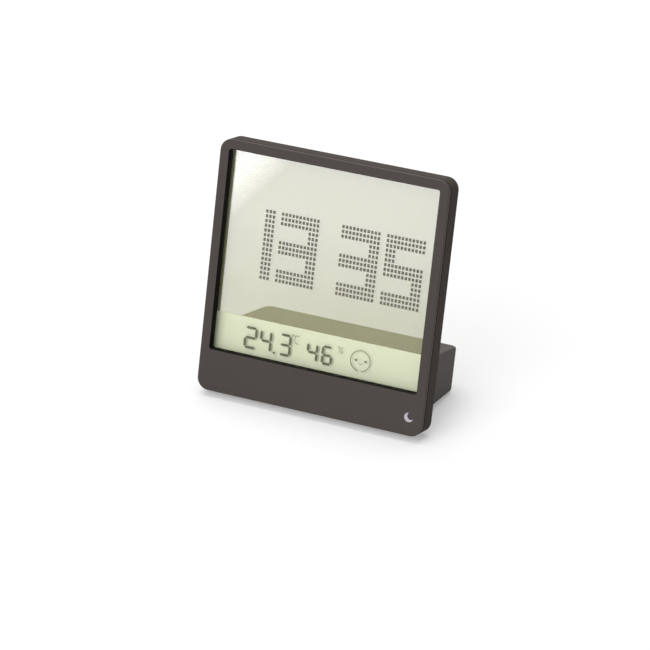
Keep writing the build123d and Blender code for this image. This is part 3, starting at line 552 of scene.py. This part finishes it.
# The boards' green laminate, with lighter tracks under the mask
boardLook = {
    "mask": (0.012, 0.085, 0.035),
    "track": (0.020, 0.130, 0.055),
    "trackPitch": 1.3,
    "trackLength": 5.2,
    "trackWidth": 0.18,
    "trackStrength": 0.4,
    "trackDepth": 0.03,
    "roughness": (0.3, 0.42),
    "grainScale": 1200.0,
    "patchScale": 120.0,
}


def makeBoardMaterial():
    material, tree, shader = newMaterial("boardGreen")
    place = addNode(tree, "ShaderNodeTexCoord")
    tracks = addNode(tree, "ShaderNodeTexBrick", {
        "Vector": place.outputs["Object"], "Scale": 1.0,
        "Mortar Size": boardLook["trackWidth"] * mm,
        "Brick Width": boardLook["trackLength"] * mm,
        "Row Height": boardLook["trackPitch"] * mm,
    })
    mask = tracks.outputs["Fac"]
    grain = placeGrain(tree, boardLook)
    addColour(tree, shader, mask, boardLook["mask"], boardLook["track"])
    addRoughness(tree, shader, grain.outputs["Patch"], patchRange, boardLook["roughness"])
    addBump(tree, shader, mask, boardLook["trackStrength"], boardLook["trackDepth"])
    return material


# The flexes' amber film, with conductor lines side by side
flexLook = {
    "film": (0.33, 0.12, 0.018),
    "line": (0.50, 0.24, 0.07),
    "pitch": 0.8,
    "lineEdge": (0.45, 0.6),  # the wave's values over which a line fades in
    "lineStrength": 0.3,
    "lineDepth": 0.02,
    "roughness": (0.25, 0.35),
}
waveLength = 0.314  # metres between the bands of a Wave Texture of scale 1


def makeFlexMaterial():
    material, tree, shader = newMaterial("flexAmber")
    place = addNode(tree, "ShaderNodeTexCoord")
    lines = addNode(tree, "ShaderNodeTexWave", {
        "Vector": place.outputs["Object"], "Scale": waveLength / (flexLook["pitch"] * mm),
    }, bands_direction="X")
    wave = lines.outputs["Fac"]
    mask = ramp(tree, wave, *flexLook["lineEdge"])
    addColour(tree, shader, mask, flexLook["film"], flexLook["line"])
    addRoughness(tree, shader, wave, (0.0, 1.0), flexLook["roughness"])
    addBump(tree, shader, mask, flexLook["lineStrength"], flexLook["lineDepth"])
    return material


paint("cell_front cell_rear", makeCellMaterial())
paint("main_board key_board", makeBoardMaterial())
paint("panel_flex touch_tail key_flex", makeFlexMaterial())
print("metals, cells, boards and flex made")

# The display's front film: it mirrors more the flatter one looks at it, and lets the rest through
glossLook = {
    "colour": (0.95, 0.96, 0.94),
    "patchColour": (1.0, 1.0, 1.0),
    "roughness": (0.02, 0.05),
    "ior": 1.5,
    "share": 0.55,  # of a plain surface's mirroring
    "grainScale": 900.0,
    "patchScale": 25.0,
}


def makeGlossMaterial():
    material, tree, shader = newMaterial("polariserGloss")
    patch = placeGrain(tree, glossLook).outputs["Patch"]
    edge = addNode(tree, "ShaderNodeFresnel", {"IOR": glossLook["ior"]})
    share = calculate(tree, "MULTIPLY", edge.outputs["Fac"], glossLook["share"])
    tree.links.new(share, shader.inputs["Alpha"])
    addColour(tree, shader, patch, glossLook["colour"], glossLook["patchColour"])
    addRoughness(tree, shader, patch, patchRange, glossLook["roughness"])
    shader.inputs["Metallic"].default_value = 1.0
    return material


# Rear film: a grey-green veil over what lies behind it, and none in front of the reflector; denser
# low on the panel as painted shade
veilLook = {
    "colour": (0.50, 0.50, 0.225),
    "patchLift": 1.04,  # how much lighter its patches are
    "share": (0.365, 0.26),  # on each of the film's two sides, low and high on the panel; denser low down as painted shade
    "heights": (42.0, 84.0),
    "roughness": 0.9,
    "grainScale": 900.0,
    "patchScale": 20.0,
}


def makeVeilMaterial():
    material, tree, shader = newMaterial("polariserVeil")
    spot = addNode(tree, "ShaderNodeGroup", node_tree=faceGroup)
    strip = calculate(tree, "LESS_THAN", spot.outputs["Up"], face["stripTop"])
    # painted shade: the veil thickens towards the bottom of the panel, so the panel darkens there
    share = ramp(tree, spot.outputs["Up"], *veilLook["heights"], *veilLook["share"])
    above = calculate(tree, "SUBTRACT", 1.0, strip)
    tree.links.new(calculate(tree, "MULTIPLY", share, above), shader.inputs["Alpha"])
    patch = placeGrain(tree, veilLook).outputs["Patch"]
    light = [value * veilLook["patchLift"] for value in veilLook["colour"]]
    addColour(tree, shader, patch, veilLook["colour"], light)
    shader.inputs["Roughness"].default_value = veilLook["roughness"]
    shader.inputs["Specular IOR Level"].default_value = 0.0
    return material


# Glass: clear on its faces, dark green at its edges
glassLook = {
    "edgeColours": ((0.10, 0.16, 0.13), (0.12, 0.18, 0.15)),  # low and high on the panel
    "facing": (0.6, 0.9),  # how squarely a surface looks forwards, from an edge to a face
    "solidity": (0.85, 0.004),  # alpha of an edge and of a face
    "roughness": 0.08,
}


def makeGlassMaterial():
    material, tree, shader = newMaterial("panelGlass")
    spot = addNode(tree, "ShaderNodeGroup", node_tree=faceGroup)
    shape = addNode(tree, "ShaderNodeNewGeometry")
    facing = addNode(tree, "ShaderNodeVectorMath", {0: shape.outputs["Normal"], 1: faceOut},
                     operation="DOT_PRODUCT")
    facing = calculate(tree, "ABSOLUTE", facing.outputs["Value"])
    solidity = ramp(tree, facing, *glassLook["facing"], *glassLook["solidity"])
    tree.links.new(solidity, shader.inputs["Alpha"])
    tint = ramp(tree, spot.outputs["Up"], 0.0, face["top"])
    addColour(tree, shader, tint, *glassLook["edgeColours"])
    shader.inputs["Roughness"].default_value = glassLook["roughness"]
    return material


# The film behind the strip, with a faint painted glow that brightens it and fills the shade at its
# edges
reflectorLook = {
    "colour": (0.805, 0.85, 0.59),
    "patchColour": (0.82, 0.865, 0.61),
    "glow": 0.085,  # painted light: a faint glow, though the film is no lamp
    "roughness": (0.45, 0.55),
    "grainScale": 2500.0,
    "grainStrength": 0.1,
    "grainDepth": 0.02,
    "patchScale": 45.0,
}


def makeReflectorMaterial():
    look = reflectorLook
    material, tree, shader = newMaterial("reflectorSatin")
    grain = placeGrain(tree, look)
    patch = grain.outputs["Patch"]
    addColour(tree, shader, patch, look["colour"], look["patchColour"])
    addRoughness(tree, shader, patch, patchRange, look["roughness"])
    addBump(tree, shader, grain.outputs["Grain"], look["grainStrength"], look["grainDepth"])
    # painted light: the film glows faintly in its own colour
    shader.inputs["Emission Color"].default_value = (*look["colour"], 1.0)
    shader.inputs["Emission Strength"].default_value = look["glow"]
    return material


paint("front_polariser", makeGlossMaterial())
paint("rear_polariser", makeVeilMaterial())
paint("front_glass rear_glass", makeGlassMaterial())
paint("reflector_film", makeReflectorMaterial())
print("display layers made")

# What the dots, the strip's figures and the printed signs are drawn in
dotInkLook = {
    "colour": (0.125, 0.108, 0.054),
    "patchLift": 1.15,  # how much lighter its patches are
    "roughness": (0.6, 0.7),
    "grainScale": 1500.0,
    "patchScale": 300.0,
}
signInkLook = dict(dotInkLook, colour=(0.070, 0.076, 0.010))
printLook = dict(dotInkLook, colour=(0.48, 0.45, 0.51), roughness=(0.5, 0.6))


def ink(name, look):
    material, tree, shader = newMaterial(name)
    patch = placeGrain(tree, look).outputs["Patch"]
    light = [value * look["patchLift"] for value in look["colour"]]
    addColour(tree, shader, patch, look["colour"], light)
    addRoughness(tree, shader, patch, patchRange, look["roughness"])
    return material


dotInk = ink("dotsDark", dotInkLook)
signInk = ink("signsDark", signInkLook)
markInk = ink("printPale", printLook)

# The time in dots: each figure is made of bars that are three dots thick
dotLook = {
    "pitchAcross": 1.72,
    "pitchUp": 2.154,
    "size": (1.14, 1.44),
    "corner": 0.26,
    "topRow": 85.14,
    "figures": (("1", 23.46), ("3", 31.16), ("3", 60.51), ("5", 82.06)),  # left column
}
barsOf = {  # first column, first row, columns, rows
    "1": ((0, 0, 3, 15),),
    "3": ((0, 0, 11, 3), (0, 6, 11, 3), (0, 12, 11, 3), (8, 3, 3, 3), (8, 9, 3, 3)),
    "5": ((0, 0, 11, 3), (0, 6, 11, 3), (0, 12, 11, 3), (0, 3, 3, 3), (8, 9, 3, 3)),
}


def makeDotFigure(name, figure, left):
    across, down = dotLook["pitchAcross"], -dotLook["pitchUp"]
    pieces = []
    for column, row, columns, rows in barsOf[figure]:
        spot = (left + column * across, dotLook["topRow"] + row * down)
        bar = tile(name, spot, dotLook["size"], dotLook["corner"])
        for count, step in ((columns, (across * mm, 0, 0)), (rows, (0, down * mm, 0))):
            repeat = bar.modifiers.new("repeat", "ARRAY")
            repeat.count = count
            repeat.use_relative_offset = False
            repeat.use_constant_offset = True
            repeat.constant_offset_displace = step
        applyModifiers(bar)
        pieces.append(bar)
    return placePiece(joinPieces(name, pieces), dotInk)


# A figure that comes twice is made once and copied
madeFigures = {}
for count, (figure, left) in enumerate(dotLook["figures"], 1):
    name = f"timeFigure{count}"
    if figure in madeFigures:
        twin, twinLeft = madeFigures[figure]
        copyAcross(twin, name, left - twinLeft)
    else:
        madeFigures[figure] = makeDotFigure(name, figure, left), left
print("time made")

# Temperature and humidity in segments, which are lettered in the usual order
segmentLook = {
    "stroke": 1.06,
    "gap": 0.26,
    "tip": 0.45,  # how far a segment's pointed end reaches
    "tipShare": 0.2,  # of the stroke's width that is left at its end
    "figures": (  # figure, left, right, bottom, top
        ("2", 18.47, 24.77, 21.65, 31.75),
        ("4", 26.27, 32.07, 21.65, 31.75),
        ("3", 35.77, 41.57, 21.75, 31.85),
        ("4", 49.37, 54.77, 21.75, 30.65),
        ("6", 56.57, 61.87, 21.85, 30.65),
    ),
    "point": (33.67, 22.16),
    "pointSize": (1.0, 1.0),
    "pointCorner": 0.3,
}
segmentsOf = {"2": "abged", "3": "abgcd", "4": "fgbc", "6": "afgedc"}


# One segment: a bar whose two ends are drawn out to blunt points
def segment(name, start, end):
    along = Vector(end) - Vector(start)
    middle = (Vector(start) + Vector(end)) / 2
    upright = abs(along.y) > abs(along.x)
    length = along.length - 2 * segmentLook["gap"] - 2 * segmentLook["tip"]
    width = segmentLook["stroke"]
    size = (width, length) if upright else (length, width)
    obj = slab(name, middle, size, face["panelDepth"], face["signHeight"])
    axis = 1 if upright else 0
    for side in (-1, 1):
        selectFaces(obj, lambda polygon: polygon.normal[axis] * side > squareOn)
        move = [0, 0, 0]
        move[axis] = side * segmentLook["tip"] * mm
        bpy.ops.mesh.extrude_region_move(TRANSFORM_OT_translate={"value": move})
        shrink = [1, 1, 1]
        shrink[1 - axis] = segmentLook["tipShare"]
        bpy.ops.transform.resize(value=shrink)
        bpy.ops.object.mode_set(mode="OBJECT")
    return obj


def makeSegmentFigure(name, figure, left, right, bottom, top):
    inset = segmentLook["stroke"] / 2
    west, east, south, north = left + inset, right - inset, bottom + inset, top - inset
    middle = (south + north) / 2
    lines = {
        "a": ((west, north), (east, north)),
        "b": ((east, middle), (east, north)),
        "c": ((east, south), (east, middle)),
        "d": ((west, south), (east, south)),
        "e": ((west, south), (west, middle)),
        "f": ((west, middle), (west, north)),
        "g": ((west, middle), (east, middle)),
    }
    pieces = [segment(name, *lines[letter]) for letter in segmentsOf[figure]]
    placePiece(joinPieces(name, pieces), signInk)


for count, spot in enumerate(segmentLook["figures"], 1):
    makeSegmentFigure(f"stripFigure{count}", *spot)
point = tile("stripPoint", segmentLook["point"], segmentLook["pointSize"],
             segmentLook["pointCorner"])
placePiece(point, signInk)

# The strip's thin signs: degree and per cent signs, and the comfort face
signLook = {
    "stroke": 0.22,
    "fineStroke": 0.16,
    "ringSteps": 20,
    "degree": (42.20, 31.95, 0.36),  # across, up, radius
    "scale": (44.35, 30.30, 1.15, 1.8),  # the letter's middle, half width, half height
    "scaleCorner": 0.75,  # radius as a share of the letter's half width
    "scaleArm": 1.3,  # length as a share of the letter's half width
    "scaleSteps": 10,
    "percent": (65.46, 30.05, 1.2, 1.5),  # across, up, half width, half height
    "percentRing": 0.52,  # radius
    "percentShares": (0.62, 0.6),  # where the rings are, of the half width and half height
    "comfort": (75.46, 27.05, 4.7),
    "comfortStroke": 0.30,
    "comfortGap": 18.0,  # degrees, at the bottom
    "comfortSteps": 60,
    "eyes": ((73.26, 27.15), (77.96, 27.15)),
    "eyeSize": (1.15, 0.85),
    "eyeCorner": 0.38,
    "eyeSteps": 3,
    "mouth": (75.56, 27.9, 2.2),
    "mouthSweep": 52.0,  # degrees
    "mouthSteps": 12,
}


def placeSign(parts):
    placePiece(joinPieces(parts[0].name, parts), signInk)


def makeDegreeSign():
    name = "unitDegree"
    width = signLook["stroke"]
    across, up, radius = signLook["degree"]
    parts = [arc(name, (across, up), radius, 0, 360, signLook["fineStroke"],
                 signLook["ringSteps"])]
    across, up, halfWidth, halfHeight = signLook["scale"]
    left = across - halfWidth
    corner = halfWidth * signLook["scaleCorner"]
    straight = halfHeight - corner
    for side, start in ((1, 90), (-1, 180)):
        spot = (left + corner, up + side * straight)
        parts.append(arc(name, spot, corner, start, 90, width, signLook["scaleSteps"]))
    parts.append(stroke(name, (left, up), 2 * straight, 90, width))
    for side in (-1, 1):
        spot = (across + corner / 2 - halfWidth / 4, up + side * halfHeight)
        parts.append(stroke(name, spot, halfWidth * signLook["scaleArm"], 0, width))
    placeSign(parts)


def makePercentSign():
    name = "unitPercent"
    width = signLook["fineStroke"]
    across, up, halfWidth, halfHeight = signLook["percent"]
    slant = math.degrees(math.atan2(2 * halfHeight, 2 * halfWidth))
    parts = [stroke(name, (across, up), 2 * math.hypot(halfWidth, halfHeight), slant, width)]
    shareAcross, shareUp = signLook["percentShares"]
    for side in (-1, 1):
        spot = (across - side * halfWidth * shareAcross, up + side * halfHeight * shareUp)
        parts.append(arc(name, spot, signLook["percentRing"], 0, 360, width,
                         signLook["ringSteps"]))
    placeSign(parts)


def makeComfortFace():
    name = "comfortFace"
    downwards = 270  # degrees
    across, up, radius = signLook["comfort"]
    gap = signLook["comfortGap"]
    parts = [arc(name, (across, up), radius, downwards + gap / 2, 360 - gap,
                 signLook["comfortStroke"], signLook["comfortSteps"])]
    for spot in signLook["eyes"]:
        parts.append(tile(name, spot, signLook["eyeSize"], signLook["eyeCorner"],
                          steps=signLook["eyeSteps"]))
    across, up, radius = signLook["mouth"]
    sweep = signLook["mouthSweep"]
    parts.append(arc(name, (across, up), radius, downwards - sweep / 2, sweep,
                     signLook["stroke"], signLook["mouthSteps"]))
    placeSign(parts)


makeDegreeSign()
makePercentSign()
makeComfortFace()
print("strip signs made")

# Sleep mark on the chin: a thin crescent printed over the touch field
markLook = {
    "centre": (103.3, 8.4),
    "radius": 2.15,
    "bite": (0.95, 0.75, 1.75),  # shift across, shift up, radius
    "biteDepth": 1.0,
    "height": 0.03,
    "sides": 64,
}


def makeSleepMark():
    clearSelection()
    middle = signMiddle(markLook["centre"], 0, markLook["height"])
    bpy.ops.mesh.primitive_cylinder_add(
        vertices=markLook["sides"], radius=markLook["radius"] * mm,
        depth=markLook["height"] * mm, location=middle,
    )
    disc = bpy.context.active_object
    across, up, radius = markLook["bite"]
    bpy.ops.mesh.primitive_cylinder_add(
        vertices=markLook["sides"], radius=radius * mm, depth=markLook["biteDepth"] * mm,
        location=middle + Vector((across, up, 0)) * mm,
    )
    cutter = bpy.context.active_object
    cut = disc.modifiers.new("bite", "BOOLEAN")
    cut.operation = "DIFFERENCE"
    cut.object = cutter
    cut.solver = "EXACT"
    applyPlace(disc)
    applyModifiers(disc)
    bpy.data.objects.remove(cutter)
    disc.name = "sleepMark"
    placePiece(disc, markInk)


makeSleepMark()
print("sleep mark made")

# Signs printed above the keys and the alarm switch, on the block's rear wall
keySigns = {
    "up": 25.8,
    "height": 0.03,
    "stroke": 0.26,
    "clock": (73.0, 1.15),  # across, radius
    "clockSteps": 40,
    "hands": ((0.0, 0.30, 0.75, 90.0), (0.24, 0.0, 0.50, 0.0)),  # shifts, length, turn
    "plus": 61.0,
    "minus": 49.0,
    "barLength": 2.0,
    "degrees": 37.0,
    "stem": 1.9,
    "bulb": 1.05,
    "bulbSteps": 4,
    "bell": (23.5, 0.85),  # across, radius
    "bellSteps": 20,
    "bellSkirt": 0.8,
    "bellRim": 2.5,
}


def makeKeySigns():
    row = keySigns["up"]
    height = keySigns["height"]
    width = keySigns["stroke"]
    length = keySigns["barLength"]

    def bar(name, across, up, size, angle):
        return stroke(name, (across, up), size, angle, width, 0, height)

    def dot(name, across, up, size, steps=2):
        return tile(name, (across, up), size, min(size) * strokeRounding, 0, height, steps)

    across, radius = keySigns["clock"]
    clock = [arc("clockSign", (across, row), radius, 0, 360, width, keySigns["clockSteps"],
                 0, height)]
    for right, above, size, angle in keySigns["hands"]:
        clock.append(bar("clockSign", across + right, row + above, size, angle))

    across = keySigns["plus"]
    plus = [bar("plusSign", across, row, length, 0)]
    for side in (-1, 1):
        shift = side * (length + width) / 4
        plus.append(bar("plusSign", across, row + shift, (length - width) / 2, 90))
    minus = [bar("minusSign", keySigns["minus"], row, length, 0)]

    across = keySigns["degrees"]
    stem = keySigns["stem"]
    bulb = keySigns["bulb"]
    degrees = [
        bar("degreesSign", across, row + bulb / 2, stem, 90),
        dot("degreesSign", across, row - stem / 2, (bulb, bulb), keySigns["bulbSteps"]),
    ]

    across, radius = keySigns["bell"]
    skirt = keySigns["bellSkirt"]
    bell = [
        arc("bellSign", (across, row), radius, 0, 180, width, keySigns["bellSteps"], 0, height),
        bar("bellSign", across, row - skirt, keySigns["bellRim"], 0),
        dot("bellSign", across, row - skirt - 2 * width, (2 * width, width)),
    ]
    for side in (-1, 1):
        bell.append(bar("bellSign", across + side * radius, row - skirt / 2, skirt - width, 90))

    for pieces in (clock, plus, minus, degrees, bell):
        placePiece(joinPieces(pieces[0].name, pieces), markInk, backPlace)


makeKeySigns()
print("key signs made")

# Floor, light and camera
stageLook = {
    "floorSize": 8.0,  # metres
    "floorColour": (0.64, 0.64, 0.64),
    "floorRoughness": 0.9,
    "floorGlow": (0.31, 1.0),  # near the clock and far from it
    "glowReach": (0.3, 3.0),  # metres from the clock
    "worldLight": 0.28,
    "lampTarget": (0.0, 0.0, 0.05),  # metres
    "key": {"place": (-0.28, -1.28, 1.0), "size": 1.4, "power": 15.3},  # metres and watts
    "top": {"place": (-0.25, 0.4, 1.55), "size": 1.8, "power": 22.0},
    "card": {
        "place": (-260.2, -7.5, 464.0),  # from the face's lower middle, in its own directions
        "turn": 139.0,  # degrees
        "size": (34.0, 84.0),
        "light": (0.45, 8.8),  # along its first side, rising over the given reach
        "reach": 19.7,
    },
    "transparentBounces": 24,
}
white = (1.0, 1.0, 1.0, 1.0)
black = (0.0, 0.0, 0.0, 1.0)


# Rays that see a white ground and sky: the camera's own, and mirrored and refracted ones
def seenRays(tree):
    path = addNode(tree, "ShaderNodeLightPath")
    value = path.outputs["Is Camera Ray"]
    for title in ("Is Glossy Ray", "Is Transmission Ray"):
        value = calculate(tree, "MAXIMUM", value, path.outputs[title])
    return value


def makeFloor():
    clearSelection()
    bpy.ops.mesh.primitive_plane_add(size=stageLook["floorSize"])
    floor = bpy.context.active_object
    floor.name = "studioFloor"
    material, tree, shader = newMaterial("floorPale")
    shader.inputs["Base Color"].default_value = (*stageLook["floorColour"], 1.0)
    shader.inputs["Roughness"].default_value = stageLook["floorRoughness"]
    shader.inputs["Specular IOR Level"].default_value = 0.0
    shader.inputs["Emission Color"].default_value = white
    place = addNode(tree, "ShaderNodeTexCoord")
    away = addNode(tree, "ShaderNodeVectorMath", {0: place.outputs["Object"]}, operation="LENGTH")
    glow = ramp(tree, away.outputs["Value"], *stageLook["glowReach"], *stageLook["floorGlow"])
    glow = calculate(tree, "MULTIPLY", seenRays(tree), glow)
    tree.links.new(glow, shader.inputs["Emission Strength"])
    floor.data.materials.append(material)


def makeWorld():
    world = bpy.data.worlds.new("studioWorld")
    bpy.context.scene.world = world
    world.use_nodes = True
    tree = world.node_tree
    background = tree.nodes["Background"]
    background.inputs["Color"].default_value = white
    strength = ramp(tree, seenRays(tree), 0.0, 1.0, stageLook["worldLight"], 1.0)
    tree.links.new(strength, background.inputs["Strength"])


def makeLamp(name, look):
    clearSelection()
    bpy.ops.object.light_add(type="AREA", location=look["place"])
    lamp = bpy.context.active_object
    lamp.name = name
    lamp.data.shape = "DISK"
    lamp.data.size = look["size"]
    lamp.data.energy = look["power"]
    direction = Vector(stageLook["lampTarget"]) - Vector(look["place"])
    lamp.rotation_euler = direction.to_track_quat("-Z", "Y").to_euler()


# A bright card beside the camera, for the soft gleam in the glass's upper left; only mirrors see it
def makeCard():
    look = stageLook["card"]
    clearSelection()
    bpy.ops.mesh.primitive_plane_add(size=1)
    card = bpy.context.active_object
    card.name = "gleamCard"
    card.scale = (look["size"][0] * mm, look["size"][1] * mm, 1)
    applyPlace(card)
    card.matrix_world = (
        facePlace @ Matrix.Translation(Vector(look["place"]) * mm)
        @ Matrix.Rotation(math.radians(look["turn"]), 4, "Z")
    )
    material, tree, shader = newMaterial("cardGleam")
    place = addNode(tree, "ShaderNodeTexCoord")
    parts = addNode(tree, "ShaderNodeSeparateXYZ", {0: place.outputs["Object"]})
    start = -look["size"][0] / 2 * mm
    light = ramp(tree, parts.outputs["X"], start, start + look["reach"] * mm, *look["light"])
    path = addNode(tree, "ShaderNodeLightPath")
    tree.links.new(light, shader.inputs["Emission Strength"])
    tree.links.new(path.outputs["Is Glossy Ray"], shader.inputs["Alpha"])
    shader.inputs["Emission Color"].default_value = white
    shader.inputs["Base Color"].default_value = black
    shader.inputs["Specular IOR Level"].default_value = 0.0
    material.cycles.emission_sampling = "NONE"
    card.data.materials.append(material)


cameraLook = {
    "place": (572.27, 410.61, 1333.55),  # from the face's lower middle, in its own directions
    "turn": (-11.607, 24.483, 6.665),  # degrees, in the same directions
    "lens": 188.88,
    "sensor": 36.0,
    "clip": (0.05, 50.0),  # metres
}


def makeCamera():
    data = bpy.data.cameras.new("studioCamera")
    camera = bpy.data.objects.new("studioCamera", data)
    bpy.context.scene.collection.objects.link(camera)
    turn = Euler([math.radians(angle) for angle in cameraLook["turn"]])
    place = Vector(cameraLook["place"]) * mm
    camera.matrix_world = facePlace @ Matrix.LocRotScale(place, turn, None)
    data.sensor_width = cameraLook["sensor"]
    data.lens = cameraLook["lens"]
    data.clip_start, data.clip_end = cameraLook["clip"]
    bpy.context.scene.camera = camera


makeFloor()
makeWorld()
makeLamp("keyLamp", stageLook["key"])
makeLamp("topLamp", stageLook["top"])
makeCard()
makeCamera()
scene = bpy.context.scene
scene.view_settings.view_transform = "Standard"
scene.cycles.transparent_max_bounces = stageLook["transparentBounces"]
print("stage made")
